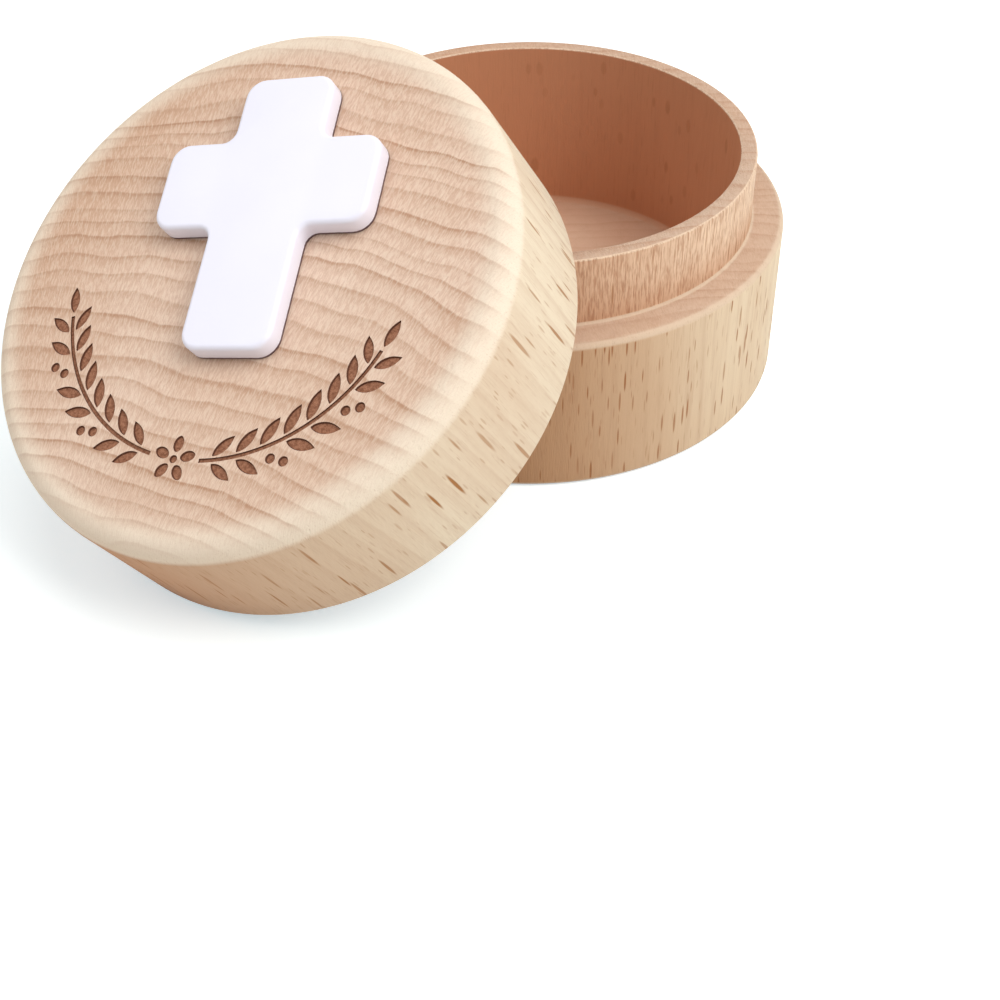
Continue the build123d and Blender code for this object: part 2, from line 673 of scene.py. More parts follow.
@dataclass(frozen=True)
class BurntFinish:
    """Laser-burnt wood at the bottom and on the walls of the garland's cuts."""

    name: str
    stand: Stand
    pale: Colour
    dark: Colour
    wall: Colour
    soot_share: float = 0.35
    grain_height: float = 0.04
    roughness: float = 0.88
    relief: float = 0.6

    def material(self) -> bpy.types.Material:
        """Paints the burn.

        Returns:
            The material.
        """
        sheet = Sheet.material(self.name)
        place = self.stand.own_point(sheet)
        mottle = sheet.noise(place, 2.4, 3.0, 0.65).ease(0.35, 0.68)
        soot = sheet.noise(place, 7.0, 2.0, 0.6).ease(0.4, 0.75)
        walls = self.stand.own_rise(sheet).ease(0.97, 0.8)
        body = sheet.blend(mottle, self.pale, self.dark)
        body = sheet.blend(soot * self.soot_share, body, self.wall)
        body = sheet.blend(walls, body, self.wall)
        inputs = {"Base Color": body, "Roughness": self.roughness}
        return sheet.finish(inputs, (mottle + soot) * self.grain_height, self.relief)


@dataclass(frozen=True)
class PaintFinish:
    """White satin paint, sprayed in a few coats over sanded wood, and a painted contact shadow at the foot.
    """

    name: str
    stand: Stand
    coat: Colour
    hollow: Colour
    # painted contact shadow: a dark band at the foot of the cross; its height, blur and stray are in
    # millimetres
    contact_shadow: Colour
    foot: float = 18.5
    contact_shadow_height: float = 0.36
    contact_shadow_blur: float = 0.05
    contact_shadow_stray: float = 0.12
    cloud_share: float = 0.5
    dust_share: float = 0.12
    peel_height: float = 0.05
    dust_height: float = 0.02
    roughness: float = 0.3
    roughness_spread: float = 0.06
    specular: float = 0.45
    relief: float = 0.25

    def material(self) -> bpy.types.Material:
        """Paints the coat.

        Returns:
            The material.
        """
        sheet = Sheet.material(self.name)
        place = self.stand.own_point(sheet)
        cloud = sheet.noise(place, 0.12, 2.0).ease(0.3, 0.75)
        peel = sheet.noise(place, 1.6, 2.0, 0.45)
        dust = sheet.noise(place, 5.0, 1.0).ease(0.62, 0.8)
        body = sheet.blend(cloud * self.cloud_share + dust * self.dust_share, self.coat, self.hollow)
        # painted contact shadow: the lowest part of the sides, where the cross meets the lid, is painted
        # dark
        above = sheet.split(place)[2] - self.foot + (peel - 0.5) * self.contact_shadow_stray
        low = above.ease(self.contact_shadow_height + self.contact_shadow_blur, self.contact_shadow_height - self.contact_shadow_blur)
        inputs = {
            "Base Color": sheet.blend(low, body, self.contact_shadow),
            "Roughness": (cloud + peel) * self.roughness_spread + self.roughness,
            "Specular IOR Level": self.specular,
        }
        height = peel * self.peel_height + dust * self.dust_height
        return sheet.finish(inputs, height, self.relief)


# ---------------------------------------------------------------------------------------
# bench: selecting and shaping in edit mode
# ---------------------------------------------------------------------------------------

Test = Callable[[Any], bool]
STRAIGHT = 0.9
NEAR = 0.02 * MM
TURNED_SIDES = 288


def level(face: bmesh.types.BMFace) -> bool:
    """True for a face that lies level."""
    return abs(face.normal.z) > STRAIGHT


class Bench:
    """One mesh on the bench, shaped in edit mode by operators."""

    def __init__(self, name: str) -> None:
        """Takes the primitive that has just been added.

        Args:
            name: The piece's name.
        """
        self.piece = bpy.context.active_object
        self.piece.name = name
        self.piece.data.name = name

    @staticmethod
    def clear() -> None:
        """Deselects everything, so that an operator acts on the new work alone."""
        if bpy.context.mode != "OBJECT":
            bpy.ops.object.mode_set(mode="OBJECT")
        bpy.ops.object.select_all(action="DESELECT")

    @classmethod
    def drum(cls, name: str, radius: float, depth: float, sides: int) -> "Bench":
        """Adds a drum that stands on the floor.

        Args:
            name: The piece's name.
            radius: Its radius.
            depth: Its height.
            sides: Number of sides.

        Returns:
            The bench with the drum on it.
        """
        cls.clear()
        bpy.ops.mesh.primitive_cylinder_add(
            vertices=sides,
            radius=radius,
            depth=depth,
            end_fill_type="NGON",
            location=(0.0, 0.0, depth / 2.0),
        )
        bench = cls(name)
        bpy.ops.object.transform_apply(location=True, rotation=True, scale=True)
        return bench

    def edit(self) -> None:
        """Opens edit mode."""
        bpy.context.view_layer.objects.active = self.piece
        bpy.ops.object.mode_set(mode="EDIT")

    def done(self) -> None:
        """Closes edit mode."""
        bpy.ops.object.mode_set(mode="OBJECT")

    def pick(self, kind: str, test: Test) -> None:
        """Selects what passes a test, and nothing else.

        Args:
            kind: "FACE", "EDGE" or "VERT".
            test: Says whether an element is wanted.
        """
        bpy.ops.mesh.select_mode(type=kind)
        bpy.ops.mesh.select_all(action="DESELECT")
        mesh = bmesh.from_edit_mesh(self.piece.data)
        groups = {"FACE": mesh.faces, "EDGE": mesh.edges, "VERT": mesh.verts}
        wanted = [element for element in groups[kind] if test(element)]
        for element in wanted:
            element.select_set(True)
        log.debug("%s: %d of %s", self.piece.name, len(wanted), kind)
        mesh.select_flush_mode()
        bmesh.update_edit_mesh(self.piece.data)

    def round_ring(self, radius: float, height: float, width: float, segments: int) -> None:
        """Rounds one circle of a turned shape.

        Args:
            radius: The circle's radius.
            height: Its height.
            width: Size of the rounding.
            segments: Steps in the rounding.
        """

        def on_ring(edge: bmesh.types.BMEdge) -> bool:
            """True if both ends lie on the circle."""
            return all(
                abs(math.hypot(corner.co.x, corner.co.y) - radius) < NEAR
                and abs(corner.co.z - height) < NEAR
                for corner in edge.verts
            )

        self.pick("EDGE", on_ring)
        self.bevel(width, segments)

    def bevel(self, width: float, segments: int) -> None:
        """Rounds what is selected."""
        bpy.ops.mesh.bevel(
            offset_type="OFFSET",
            offset=width,
            segments=segments,
            profile=0.5,
            affect="EDGES",
            clamp_overlap=False,
        )

    def extrude(self, way: tuple[float, float, float]) -> None:
        """Extrudes the selected faces that way."""
        bpy.ops.mesh.extrude_region_move(TRANSFORM_OT_translate={"value": way, "orient_type": "GLOBAL"})

    def narrow(self, width: float) -> None:
        """Insets the selected face."""
        bpy.ops.mesh.inset(thickness=width, depth=0.0, use_even_offset=True)

    def dress(self, finishes: list[Any]) -> None:
        """Gives the piece its materials, one slot for each finish."""
        for finish in finishes:
            self.piece.data.materials.append(finish.material())

    def paint(self, number: int, test: Test) -> None:
        """Gives one of the piece's materials to the faces that pass a test."""
        self.pick("FACE", test)
        self.piece.active_material_index = number
        bpy.ops.object.material_slot_assign()

    def outward(self) -> None:
        """Makes the normals consistent."""
        bpy.ops.mesh.select_all(action="SELECT")
        bpy.ops.mesh.normals_make_consistent(inside=False)

    def take(self) -> None:
        """Selects the piece alone and makes it the active one."""
        self.clear()
        self.piece.select_set(True)
        bpy.context.view_layer.objects.active = self.piece

    def settle(self, matrix: Matrix) -> None:
        """Moves the mesh by a matrix, leaving the object at the origin."""
        self.take()
        self.piece.matrix_world = matrix @ self.piece.matrix_world
        bpy.ops.object.transform_apply(location=True, rotation=True, scale=True)

    def smooth(self, angle: float = math.radians(28.0)) -> None:
        """Shades smooth, keeping edges sharper than the angle."""
        self.take()
        bpy.ops.object.shade_smooth_by_angle(angle=angle)

    def cut(self, cutter: bpy.types.Object) -> None:
        """Cuts a shape out and throws the cutter away.

        Args:
            cutter: The closed mesh to take away.
        """
        self.take()
        modifier = self.piece.modifiers.new("cut", "BOOLEAN")
        modifier.operation = "DIFFERENCE"
        modifier.solver = "EXACT"
        modifier.material_mode = "TRANSFER"
        modifier.use_self = False
        modifier.object = cutter
        bpy.ops.object.modifier_apply(modifier=modifier.name)
        bpy.data.objects.remove(cutter, do_unlink=True)


def hand_over(piece: bpy.types.Object, body: Body, slot: Slot, node: str) -> None:
    """Gives a finished piece to the frame.

    Args:
        piece: The piece.
        body: The body that it rides on.
        slot: The slot of its finish; not used.
        node: The CAD node that it stands for.
    """
    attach(piece, body.value)
    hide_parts(node)
    log.info("%s: %d faces, rides on %s", piece.name, len(piece.data.polygons), body.value)


# ---------------------------------------------------------------------------------------
# pieces
# ---------------------------------------------------------------------------------------


@dataclass
class TurnedBase:
    """The base: a low drum with a raised collar and a round hollow."""

    finish: BeechFinish
    collar_finish: BeechFinish
    # painted shade: the hollow's finish is darker and redder than the outside
    shaded_bore_finish: BeechFinish
    radius: float = 35.0 * MM
    shoulder: float = 22.0 * MM
    collar_rise: float = 9.4 * MM
    collar_radius: float = 30.6 * MM
    collar_wall: float = 2.2 * MM
    floor: float = 6.0 * MM
    foot_round: float = 0.7 * MM
    shoulder_round: float = 1.0 * MM
    cove_round: float = 0.5 * MM
    lip_round: float = 0.3 * MM
    floor_round: float = 1.0 * MM
    # how far the finishes of collar and hollow reach past their own surfaces
    bore_past: float = 0.05 * MM
    collar_past: float = 0.1 * MM
    floor_past: float = 0.1 * MM
    # what the collar's finish leaves of the cove to the shoulder's
    cove_left: float = 0.3 * MM

    @property
    def bore(self) -> float:
        """Radius of the hollow."""
        return self.collar_radius - self.collar_wall

    def build(self) -> bpy.types.Object:
        """Turns and dresses the base.

        Returns:
            The finished piece.
        """
        top = self.shoulder + self.collar_rise
        bench = Bench.drum("turned_base", self.radius, self.shoulder, TURNED_SIDES)
        bench.edit()
        bench.pick("FACE", lambda face: face.normal.z > STRAIGHT)
        bench.narrow(self.radius - self.collar_radius)
        bench.extrude((0.0, 0.0, self.collar_rise))
        bench.narrow(self.collar_wall)
        bench.extrude((0.0, 0.0, self.floor - top))
        bench.round_ring(self.radius, 0.0, self.foot_round, 4)
        bench.round_ring(self.radius, self.shoulder, self.shoulder_round, 8)
        bench.round_ring(self.collar_radius, self.shoulder, self.cove_round, 5)
        bench.round_ring(self.collar_radius, top, self.lip_round, 4)
        bench.round_ring(self.bore, top, self.lip_round, 4)
        bench.round_ring(self.bore, self.floor, self.floor_round, 6)
        bench.dress([self.finish, self.collar_finish, self.shaded_bore_finish])
        bench.paint(1, lambda face: self._on_collar(face.calc_center_median()))
        bench.paint(2, lambda face: self._in_bore(face.calc_center_median()))
        bench.done()
        bench.smooth()
        hand_over(bench.piece, Body.BASE, Slot.BASE_WOOD, "base")
        return bench.piece

    def _on_collar(self, place: Vector) -> bool:
        """True on the collar's outside and on its upper face."""
        reach = math.hypot(place.x, place.y)
        between = self.bore + self.bore_past < reach < self.collar_radius + self.collar_past
        return between and place.z > self.shoulder + self.cove_left

    def _in_bore(self, place: Vector) -> bool:
        """True on the hollow's wall and floor."""
        inside = math.hypot(place.x, place.y) < self.bore + self.bore_past
        return inside and place.z > self.floor - self.floor_past


@dataclass(frozen=True)
class Mark:
    """The outline of one burnt mark, lying along X from its foot."""

    name: str
    length: float
    width: float
    tip: float = 0.0
    corners: int = 20

    def scaled(self, share: float) -> "Mark":
        """The same mark at another size."""
        return replace(self, length=self.length * share, width=self.width * share)


@dataclass
class BurntGarland:
    """Two leafy sprigs on an arc round the lid's face, as shallow cuts."""

    radius: float = 22.9 * MM
    middle: float = math.radians(-71.0)
    half_span: float = math.radians(72.0)
    first: float = math.radians(10.0)
    pairs: int = 8
    leaf: Mark = Mark("leaf", 3.9 * MM, 1.45 * MM, 0.16, 28)
    leaf_splay: float = math.radians(40.0)
    leaf_gap: float = 0.475 * MM
    leaf_start: float = 0.35
    least_leaf: float = 0.86
    end_leaf: float = 0.9
    end_gap: float = 0.5 * MM
    berry: Mark = Mark("berry", 1.24 * MM, 1.24 * MM)
    berry_every: int = 3
    berry_lifts: tuple[float, float] = (0.3, 0.72)
    berry_round: float = 0.8
    berry_out: float = 0.62
    berry_gap: float = 0.3 * MM
    petal: Mark = Mark("petal", 2.028 * MM, 1.334 * MM, 0.04, 24)
    petals: int = 5
    petal_foot: float = 0.85 * MM
    heart: Mark = Mark("flower_heart", 1.0 * MM, 1.0 * MM)
    stem_width: float = 0.5 * MM
    stem_start: float = 0.86
    stem_steps: int = 48
    foot_point: float = 0.6
    point_reach: float = 0.45
    depth: float = 0.22 * MM
    slope: float = 0.12 * MM
    proud: float = 0.3 * MM

    def cutter(self, height: float, finish: BurntFinish) -> bpy.types.Object:
        """Makes the whole garland as one mesh of closed marks.

        Args:
            height: Height of the lid's face.
            finish: What the cuts are painted with.

        Returns:
            The cutter.
        """
        pieces = self._flower(height)
        step = (self.half_span - self.first) / self.pairs
        for hand in (-1.0, 1.0):
            pieces.append(self._stem(height, hand))
            for number in range(self.pairs):
                place = self.first + step * (number + self.leaf_start)
                swell = math.sin(math.pi * (number + 0.5) / self.pairs)
                size = self.least_leaf + (1.0 - self.least_leaf) * swell
                pieces.append(self._leaf(height, hand, place, -1.0, size))
                if number % self.berry_every == self.berry_every - 1:
                    pieces += [self._berry(height, hand, place, lift) for lift in self.berry_lifts]
                else:
                    pieces.append(self._leaf(height, hand, place, 1.0, size))
            end = self.half_span + self.end_gap / self.radius
            pieces.append(self._leaf(height, hand, end, 0.0, self.end_leaf))
        Bench.clear()
        for piece in pieces:
            piece.select_set(True)
        bpy.context.view_layer.objects.active = pieces[0]
        bpy.ops.object.join()
        whole = bpy.context.active_object
        whole.name = "garland_cutter"
        whole.data.materials.append(finish.material())
        return whole

    @staticmethod
    def _place(turn: float, radius: float) -> Vector:
        """A point on the lid's face."""
        return Vector((radius * math.cos(turn), radius * math.sin(turn)))

    def _press(self, mark: Mark, foot: Vector, heading: float, height: float) -> bpy.types.Object:
        """Makes a mark's cutter: straight above the face, sloping in below it.

        Args:
            mark: The mark.
            foot: Where its foot is on the face.
            heading: Which way it points.
            height: Height of the lid's face.

        Returns:
            The closed cutter in its place.
        """
        bench = self._outline(mark)
        halfway = -self.depth / 2.0
        bench.pick("FACE", lambda face: True)
        bench.extrude((0.0, 0.0, -self.depth))
        bench.pick("FACE", lambda face: level(face) and face.calc_center_median().z < halfway)
        narrower = (mark.length - 2 * self.slope) / mark.length, (mark.width - 2 * self.slope) / mark.width
        centre = (mark.length / 2.0, 0.0, -self.depth)
        bpy.ops.transform.resize(value=(*narrower, 1.0), center_override=centre)
        bench.pick("FACE", lambda face: level(face) and face.calc_center_median().z > halfway)
        bench.extrude((0.0, 0.0, self.proud))
        bench.outward()
        bench.done()
        bench.settle(Matrix.Translation((*foot, height)) @ Matrix.Rotation(heading, 4, "Z"))
        return bench.piece

    def _outline(self, mark: Mark) -> Bench:
        """Draws a mark flat from a circle whose two ends are pulled to points.

        Args:
            mark: The mark.

        Returns:
            The bench with the outline on it, in edit mode.
        """
        Bench.clear()
        bpy.ops.mesh.primitive_circle_add(vertices=mark.corners, radius=0.5, fill_type="NGON")
        bench = Bench(mark.name)
        bench.edit()
        foot_tip = mark.tip * self.foot_point
        if mark.tip:
            for end, share in ((-1.0, foot_tip), (1.0, mark.tip)):
                bench.pick("VERT", lambda corner: corner.co.x * end > 0.499)
                bpy.ops.transform.translate(
                    value=(end * share, 0.0, 0.0),
                    use_proportional_edit=True,
                    proportional_edit_falloff="SHARP",
                    proportional_size=self.point_reach,
                )
        full = 1.0 + foot_tip + mark.tip
        bpy.ops.mesh.select_all(action="SELECT")
        size = (mark.length / full, mark.width, 1.0)
        bpy.ops.transform.resize(value=size, center_override=(0.0, 0.0, 0.0))
        bpy.ops.transform.translate(value=(mark.length * (0.5 + foot_tip) / full, 0.0, 0.0))
        return bench

    def _leaf(self, height: float, hand: float, place: float, side: float, size: float) -> bpy.types.Object:
        """One leaf beside the stem, or at its end.

        Args:
            height: Height of the lid's face.
            hand: -1 or 1, the sprig that it grows on.
            place: How far round the arc its foot is.
            side: 1 outside the stem, -1 inside, 0 at the end.
            size: Its share of the full size.

        Returns:
            The leaf's cutter.
        """
        turn = self.middle + hand * place
        foot = self._place(turn, self.radius + side * self.leaf_gap)
        heading = turn + hand * (math.pi / 2.0 - side * self.leaf_splay)
        return self._press(self.leaf.scaled(size), foot, heading, height)

    def _berry(self, height: float, hand: float, place: float, lift: float) -> bpy.types.Object:
        """One round berry outside the stem, in place of a leaf.

        Args:
            height: Height of the lid's face.
            hand: -1 or 1, the sprig that it grows on.
            place: How far round the arc its leaf would grow.
            lift: How far out it is, as a share of the leaf's length.

        Returns:
            The berry's cutter.
        """
        out = self.leaf.length * lift
        turn = self.middle + hand * (place + out * self.berry_round / self.radius)
        foot = self._place(turn, self.radius + self.berry_gap + out * self.berry_out)
        return self._press(self.berry, foot, turn, height)

    def _flower(self, height: float) -> list[bpy.types.Object]:
        """The flower between the sprigs: a round heart and its petals."""
        centre = self._place(self.middle, self.radius)
        marks = [self._press(self.heart, centre - Vector((self.heart.length / 2.0, 0.0)), 0.0, height)]
        for number in range(self.petals):
            turn = self.middle + FULL_TURN * (number + 0.5) / self.petals
            marks.append(self._press(self.petal, centre + self._place(turn, self.petal_foot), turn, height))
        return marks

    def _stem(self, height: float, hand: float) -> bpy.types.Object:
        """One curved stem, spun round the lid's axis."""
        bare = self.first * self.stem_start
        start = self.middle + hand * bare
        tall = self.depth + self.proud
        Bench.clear()
        bpy.ops.mesh.primitive_plane_add(size=1.0)
        bench = Bench("stem")
        bench.edit()
        bpy.ops.mesh.select_all(action="SELECT")
        bpy.ops.transform.resize(value=(self.stem_width, tall, 1.0), center_override=(0.0, 0.0, 0.0))
        bench.done()
        place = Matrix.Translation((self.radius, 0.0, height + (self.proud - self.depth) / 2.0))
        upright = Matrix.Rotation(math.pi / 2.0, 4, "X")
        bench.settle(Matrix.Rotation(start, 4, "Z") @ place @ upright)
        bench.edit()
        bpy.ops.mesh.select_all(action="SELECT")
        bpy.ops.mesh.spin(
            steps=self.stem_steps,
            angle=-hand * (self.half_span - bare),
            center=(0.0, 0.0, 0.0),
            axis=(0.0, 0.0, 1.0),
        )
        bpy.ops.mesh.select_all(action="SELECT")
        bpy.ops.mesh.remove_doubles(threshold=0.001 * MM)
        bench.outward()
        bench.done()
        return bench.piece


@dataclass
class TurnedLid:
    """The lid: a low drum with a soft upper edge, a recess and the burnt garland."""

    finish: BeechFinish
    burn: BurntFinish
    stand: Stand
    garland: BurntGarland = field(default_factory=BurntGarland)
    radius: float = 35.0 * MM
    top_radius: float = 34.5 * MM
    height: float = 18.5 * MM
    recess_radius: float = 30.8 * MM
    recess_depth: float = 10.2 * MM
    top_round: float = 2.6 * MM
    lip_round: float = 0.3 * MM
    mouth_round: float = 0.7 * MM
    recess_round: float = 0.5 * MM

    def build(self) -> bpy.types.Object:
        """Turns, burns and dresses the lid.

        Returns:
            The finished piece.
        """
        bench = Bench.drum("turned_lid", self.radius, self.height, TURNED_SIDES)
        bench.edit()
        bench.pick("FACE", lambda face: face.normal.z > STRAIGHT)
        share = self.top_radius / self.radius
        bpy.ops.transform.resize(value=(share, share, 1.0), center_override=(0.0, 0.0, self.height))
        bench.pick("FACE", lambda face: face.normal.z < -STRAIGHT)
        bench.narrow(self.radius - self.recess_radius)
        bench.extrude((0.0, 0.0, self.recess_depth))
        bench.round_ring(self.top_radius, self.height, self.top_round, 14)
        bench.round_ring(self.radius, 0.0, self.lip_round, 3)
        bench.round_ring(self.recess_radius, 0.0, self.mouth_round, 4)
        bench.round_ring(self.recess_radius, self.recess_depth, self.recess_round, 4)
        bench.dress([self.finish])
        bench.done()
        bench.cut(self.garland.cutter(self.height, self.burn))
        bench.smooth()
        bench.settle(self.stand.matrix())
        hand_over(bench.piece, Body.LID, Slot.LID_WOOD, "lid")
        return bench.piece


@dataclass
class PaintedCross:
    """The cross: cut from sheet, its corners rounded and its upper edge softened."""

    finish: PaintFinish
    stand: Stand
    face_height: float = 18.5 * MM
    length: float = 36.0 * MM
    span: float = 28.8 * MM
    stem: float = 12.1 * MM
    arm: float = 11.6 * MM
    head: float = 8.6 * MM
    thickness: float = 2.6 * MM
    corner: float = 2.4 * MM
    crook: float = 1.6 * MM
    rim: float = 0.6 * MM
    foot_rim: float = 0.12 * MM
    up: float = 7.6 * MM
    aside: float = 1.9 * MM
    turn: float = math.radians(25.0)

    def build(self) -> bpy.types.Object:
        """Cuts, softens and dresses the cross.

        Returns:
            The finished piece.
        """
        Bench.clear()
        bpy.ops.mesh.primitive_cube_add(size=1.0)
        bench = Bench("glued_cross")
        bench.edit()
        bpy.ops.mesh.select_all(action="SELECT")
        bpy.ops.transform.resize(value=(self.stem, self.arm, self.thickness))
        reach = (self.span - self.stem) / 2.0
        self._grow(bench, Vector((0.0, 1.0, 0.0)), self.head)
        self._grow(bench, Vector((0.0, -1.0, 0.0)), self.length - self.head - self.arm)
        self._grow(bench, Vector((1.0, 0.0, 0.0)), reach)
        self._grow(bench, Vector((-1.0, 0.0, 0.0)), reach)
        bpy.ops.mesh.select_all(action="SELECT")
        bpy.ops.mesh.dissolve_limited(angle_limit=math.radians(1.0))
        self._round_uprights(bench, True, self.corner, 7)
        self._round_uprights(bench, False, self.crook, 5)
        self._round_rim(bench, 1.0, self.rim, 5)
        self._round_rim(bench, -1.0, self.foot_rim, 2)
        bench.dress([self.finish])
        bench.done()
        rise = self.up + self.length / 2.0 - self.head - self.arm / 2.0
        place = Matrix.Translation((0.0, 0.0, self.face_height + self.thickness / 2.0))
        glued = place @ Matrix.Rotation(self.turn, 4, "Z") @ Matrix.Translation((self.aside, rise, 0.0))
        bench.settle(self.stand.matrix() @ glued)
        bench.smooth(math.radians(40.0))
        hand_over(bench.piece, Body.LID, Slot.CROSS_PAINT, "cross")
        return bench.piece

    @staticmethod
    def _grow(bench: Bench, way: Vector, distance: float) -> None:
        """Extrudes one side of the crossing.

        Args:
            bench: The bench with the cross.
            way: The direction.
            distance: How far.
        """

        def beside(face: bmesh.types.BMFace) -> bool:
            """True for the face that lies straight out from the crossing."""
            place = face.calc_center_median()
            across = place.y if abs(way.x) > 0.5 else place.x
            return face.normal.dot(way) > STRAIGHT and abs(across) < 0.1 * MM

        bench.pick("FACE", beside)
        bench.extrude(tuple(way * distance))

    def _round_uprights(self, bench: Bench, outer: bool, radius: float, segments: int) -> None:
        """Rounds the upright edges, the outer corners or the inner ones."""

        def wanted(edge: bmesh.types.BMEdge) -> bool:
            """True for an upright edge of the asked kind."""
            low, high = edge.verts
            if abs(low.co.z - high.co.z) < self.thickness / 2.0:
                return False
            inner = abs(abs(low.co.x) - self.stem / 2.0) < MM and abs(abs(low.co.y) - self.arm / 2.0) < MM
            return inner != outer

        bench.pick("EDGE", wanted)
        bench.bevel(radius, segments)

    def _round_rim(self, bench: Bench, end: float, width: float, segments: int) -> None:
        """Softens the rim of the upper or the lower face."""
        height = end * self.thickness / 2.0

        def wanted(edge: bmesh.types.BMEdge) -> bool:
            """True on the rim."""
            on_face = all(abs(corner.co.z - height) < 0.01 * MM for corner in edge.verts)
            return on_face and not all(level(face) for face in edge.link_faces)

        bench.pick("EDGE", wanted)
        bench.bevel(width, segments)


# ---------------------------------------------------------------------------------------
# studio
# ---------------------------------------------------------------------------------------


def stood_off(bearing: float, elevation: float, distance: float) -> Vector:
    """A point round the origin.

    Args:
        bearing: Degrees from +X towards +Y.
        elevation: Degrees above the floor.
        distance: Metres.

    Returns:
        The point.
    """
    turn, rise = math.radians(bearing), math.radians(elevation)
    flat = math.cos(rise) * distance
    return Vector((flat * math.cos(turn), flat * math.sin(turn), math.sin(rise) * distance))


@dataclass(frozen=True)
class Softbox:
    """A square lamp that looks at the box; its bearing and elevation are degrees."""

    name: str
    bearing: float
    elevation: float
    distance: float
    size: float
    power: float

    def hang(self, aim: Vector) -> None:
        """Hangs the lamp.

        Args:
            aim: The point that it looks at.
        """
        place = aim + stood_off(self.bearing, self.elevation, self.distance)
        lamp = bpy.data.lights.new(self.name, "AREA")
        lamp.shape = "SQUARE"
        lamp.size = self.size
        lamp.energy = self.power
        holder = bpy.data.objects.new(self.name, lamp)
        bpy.context.scene.collection.objects.link(holder)
        holder.location = place
        holder.rotation_euler = (aim - place).to_track_quat("-Z", "Y").to_euler()


@dataclass(frozen=True)
class Viewpoint:
    """The camera, as the photograph was taken; angles are degrees."""

    bearing: float = -49.0873
    elevation: float = 34.7898
    distance: float = 238.1563 * MM
    yaw: float = 1.0158
    pitch: float = -5.9476
    focal_share: float = 1.6056624
    sensor: float = 36.0

    def set_up(self) -> None:
        """Makes the scene's camera."""
        place = stood_off(self.bearing, self.elevation, self.distance)
        ahead = -place.normalized()
        right = ahead.cross(Vector((0.0, 0.0, 1.0))).normalized()
        above = right.cross(ahead)
        yaw = Matrix.Rotation(math.radians(self.yaw), 3, above)
        ahead, right = yaw @ ahead, yaw @ right
        pitch = Matrix.Rotation(math.radians(self.pitch), 3, right)
        ahead, above = pitch @ ahead, pitch @ above
        lens = bpy.data.cameras.new("camera")
        lens.sensor_fit = "HORIZONTAL"
        lens.sensor_width = self.sensor
        lens.lens = self.sensor * self.focal_share
        lens.clip_start = 0.01
        lens.clip_end = 20.0
        camera = bpy.data.objects.new("camera", lens)
        bpy.context.scene.collection.objects.link(camera)
        axes = Matrix((right, above, -ahead)).transposed()
        camera.matrix_world = Matrix.Translation(place) @ axes.to_4x4()
        bpy.context.scene.camera = camera


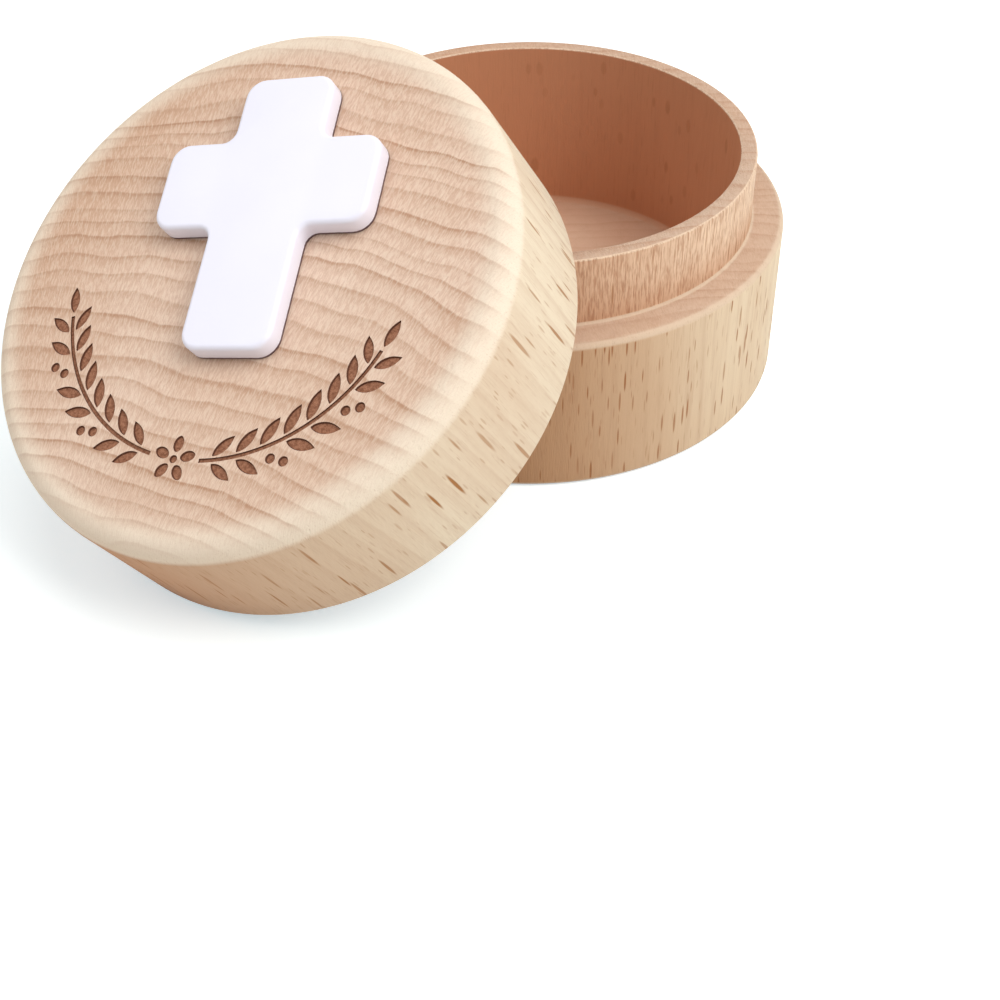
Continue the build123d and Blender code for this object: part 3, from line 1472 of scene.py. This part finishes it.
@dataclass(frozen=True)
class Studio:
    """White floor, white surround and soft lamps."""

    lamps: tuple[Softbox, ...] = (
        Softbox("key", 12.0, 46.0, 0.9, 0.5, 4.8),
        Softbox("top", 60.0, 78.0, 0.9, 0.7, 2.7),
        Softbox("left", -148.0, 42.0, 1.0, 0.7, 2.2),
        Softbox("front", -60.0, 30.0, 1.1, 0.8, 0.6),
    )
    aim: tuple[float, float, float] = (0.0, -0.03, 0.02)
    floor_size: float = 6.0
    floor_drop: float = 0.1 * MM
    floor_opening: float = 34.5 * MM
    floor_tone: Colour = (0.85, 0.83, 0.79)
    floor_glow: Colour = (0.37, 0.455, 0.497)
    fade: tuple[float, float] = (0.25, 0.8)
    white: Colour = (1.0, 1.0, 1.0)
    world_level: float = 0.34

    def build(self) -> None:
        """Lays the floor, lights the box and sets the view transform."""
        self._floor()
        self._world()
        for lamp in self.lamps:
            lamp.hang(Vector(self.aim))
        bpy.context.scene.view_settings.view_transform = "Standard"

    def _floor(self) -> None:
        """A matt floor, white to the eye but for the shadow.

        It is clear from below, and open where the base covers it, so that the underside is lit.
        """
        Bench.clear()
        bpy.ops.mesh.primitive_plane_add(size=self.floor_size, location=(0.0, 0.0, -self.floor_drop))
        floor = bpy.context.active_object
        floor.name = "floor"
        sheet = Sheet.material("floor_white")
        matt = sheet.node("ShaderNodeBsdfDiffuse", {}, {"Color": self.floor_tone})
        place = sheet.node("ShaderNodeTexCoord").outputs["Object"]
        away = sheet.value("ShaderNodeVectorMath", {"operation": "LENGTH"}, {0: place}, "Value")
        glow = sheet.blend(away.ease(*self.fade), self.floor_glow, self.white)
        shine = sheet.node("ShaderNodeEmission", {}, {"Color": glow})
        both = sheet.node("ShaderNodeAddShader", {}, {0: matt.outputs[0], 1: shine.outputs[0]})
        upper = self._shown(sheet, matt, both)
        clear = sheet.node("ShaderNodeBsdfTransparent")
        below = Value(sheet, sheet.node("ShaderNodeNewGeometry").outputs["Backfacing"])
        opening = away.ease(self.floor_opening, self.floor_opening * 0.98)
        sided = sheet.node(
            "ShaderNodeMixShader", {}, {0: below.most(opening), 1: upper.outputs[0], 2: clear.outputs[0]}
        )
        sheet.node("ShaderNodeOutputMaterial", {}, {"Surface": sided.outputs[0]})
        floor.data.materials.append(sheet.holder)

    def _world(self) -> None:
        """A plain surround: white to the eye and in mirrors, dimmer as a light."""
        world = bpy.data.worlds.new("surround")
        bpy.context.scene.world = world
        sheet = Sheet(world)
        dim = sheet.node("ShaderNodeBackground", {}, {"Color": self.white, "Strength": self.world_level})
        white = sheet.node("ShaderNodeBackground", {}, {"Color": self.white})
        sheet.node("ShaderNodeOutputWorld", {}, {"Surface": self._shown(sheet, dim, white).outputs[0]})

    @staticmethod
    def _shown(sheet: Sheet, unseen: bpy.types.Node, seen: bpy.types.Node) -> bpy.types.Node:
        """Joins one shader for what is seen and another for what only lights.

        Args:
            sheet: The sheet.
            unseen: Shader for light that only falls on things.
            seen: Shader for the camera, mirrors and glass.

        Returns:
            The node that joins them.
        """
        path = sheet.node("ShaderNodeLightPath")
        direct, mirrored, through = (
            Value(sheet, path.outputs[f"Is {kind} Ray"]) for kind in ("Camera", "Glossy", "Transmission")
        )
        share = direct.most(mirrored).most(through)
        return sheet.node("ShaderNodeMixShader", {}, {0: share, 1: unseen.outputs[0], 2: seen.outputs[0]})


# ---------------------------------------------------------------------------------------
# the box
# ---------------------------------------------------------------------------------------

UPRIGHT = Stand()
LEANING = Stand(foot=(0.0, -40.951 * MM, 19.0 * MM), lean=math.radians(33.2))

BASE_BEECH = BeechFinish(
    name="beech_base",
    stand=UPRIGHT,
    tones=BeechTones(
        face=(0.61, 0.44, 0.325),
        side=(0.80, 0.665, 0.48),
        warm=(0.50, 0.26, 0.125),
        ring=(0.40, 0.21, 0.12),
        fleck=(0.34, 0.135, 0.05),
        edge=(0.68, 0.52, 0.38),
    ),
    heart=(105.0, -70.0),
    seed=37.0,
    fleck_cell=(1.0, 0.8, 6.6),
    fleck_share=1.0,
    fleck_strength=0.95,
    streak_strength=0.24,
    # painted shade on one side of the base, with a warmer wood tone
    shaded_flank_reach=(-24.0, 25.0),
    ring_strength=0.6,
    ray_strength=0.45,
)
COLLAR_BEECH = replace(
    BASE_BEECH,
    name="beech_collar",
    tones=replace(
        BASE_BEECH.tones,
        side=(0.90, 0.69, 0.50),
        warm=(0.60, 0.325, 0.19),
        ring=(0.40, 0.175, 0.09),
        edge=(0.82, 0.63, 0.46),
    ),
    fleck_share=0.25,
    fuzz=1.5,
    # painted shade: the collar darkens towards the shoulder
    foot_shade=(28.5, 22.5),
)
# painted shade: the hollow's wall and floor get darker, redder tones than the outside, for the shade inside
# it
SHADED_BORE_BEECH = replace(
    BASE_BEECH,
    name="beech_bore_shaded",
    tones=replace(
        BASE_BEECH.tones,
        side=(0.59, 0.275, 0.15),
        warm=(0.56, 0.25, 0.13),
        face=(0.68, 0.47, 0.33),
        ring=(0.44, 0.19, 0.10),
        edge=(0.62, 0.36, 0.23),
    ),
    ring_strength=0.3,
    fleck_cell=(1.9, 1.9, 4.6),
    fleck_share=0.35,
    fleck_strength=0.35,
    streak_strength=0.1,
    ray_strength=0.0,
    relief=0.12,
)
LID_BEECH = BeechFinish(
    name="beech_lid",
    stand=LEANING,
    tones=BeechTones(
        face=(0.81, 0.61, 0.48),
        side=(0.82, 0.705, 0.535),
        warm=(0.52, 0.265, 0.135),
        ring=(0.46, 0.25, 0.15),
        fleck=(0.38, 0.16, 0.05),
        # painted highlight: the lid's rounded edge takes this paler tone
        edge=(0.88, 0.76, 0.61),
    ),
    heart=(31.3, -119.5),
    seed=3.0,
    ring_strength=1.2,
    fleck_cell=(0.95, 0.85, 12.0),
    fleck_share=0.7,
    fleck_strength=1.0,
    # painted shade on the lid's lower left side, with a warmer wood tone
    shaded_flank_bearing=math.radians(-128.0),
    shaded_flank_reach=(-12.0, 30.0),
    # painted highlight: a pale band on the face just inside the rounded edge
    rim=(29.4, 32.6),
)
GARLAND_BURN = BurntFinish(
    name="laser_burn",
    stand=LEANING,
    pale=(0.40, 0.175, 0.095),
    dark=(0.22, 0.08, 0.036),
    wall=(0.09, 0.026, 0.009),
)
CROSS_PAINT = PaintFinish(
    name="white_paint",
    stand=LEANING,
    coat=(0.87, 0.86, 0.965),
    hollow=(0.85, 0.84, 0.95),
    # painted contact shadow at the cross's foot
    contact_shadow=(0.10, 0.05, 0.06),
)


def main() -> None:
    """Builds the box piece by piece, then the studio round it."""
    logging.basicConfig(level=logging.INFO, format="%(name)s: %(message)s")
    TurnedBase(BASE_BEECH, COLLAR_BEECH, SHADED_BORE_BEECH).build()
    TurnedLid(LID_BEECH, GARLAND_BURN, LEANING).build()
    PaintedCross(CROSS_PAINT, LEANING).build()
    Studio().build()
    Viewpoint().set_up()


if __name__ == "__main__":
    main()
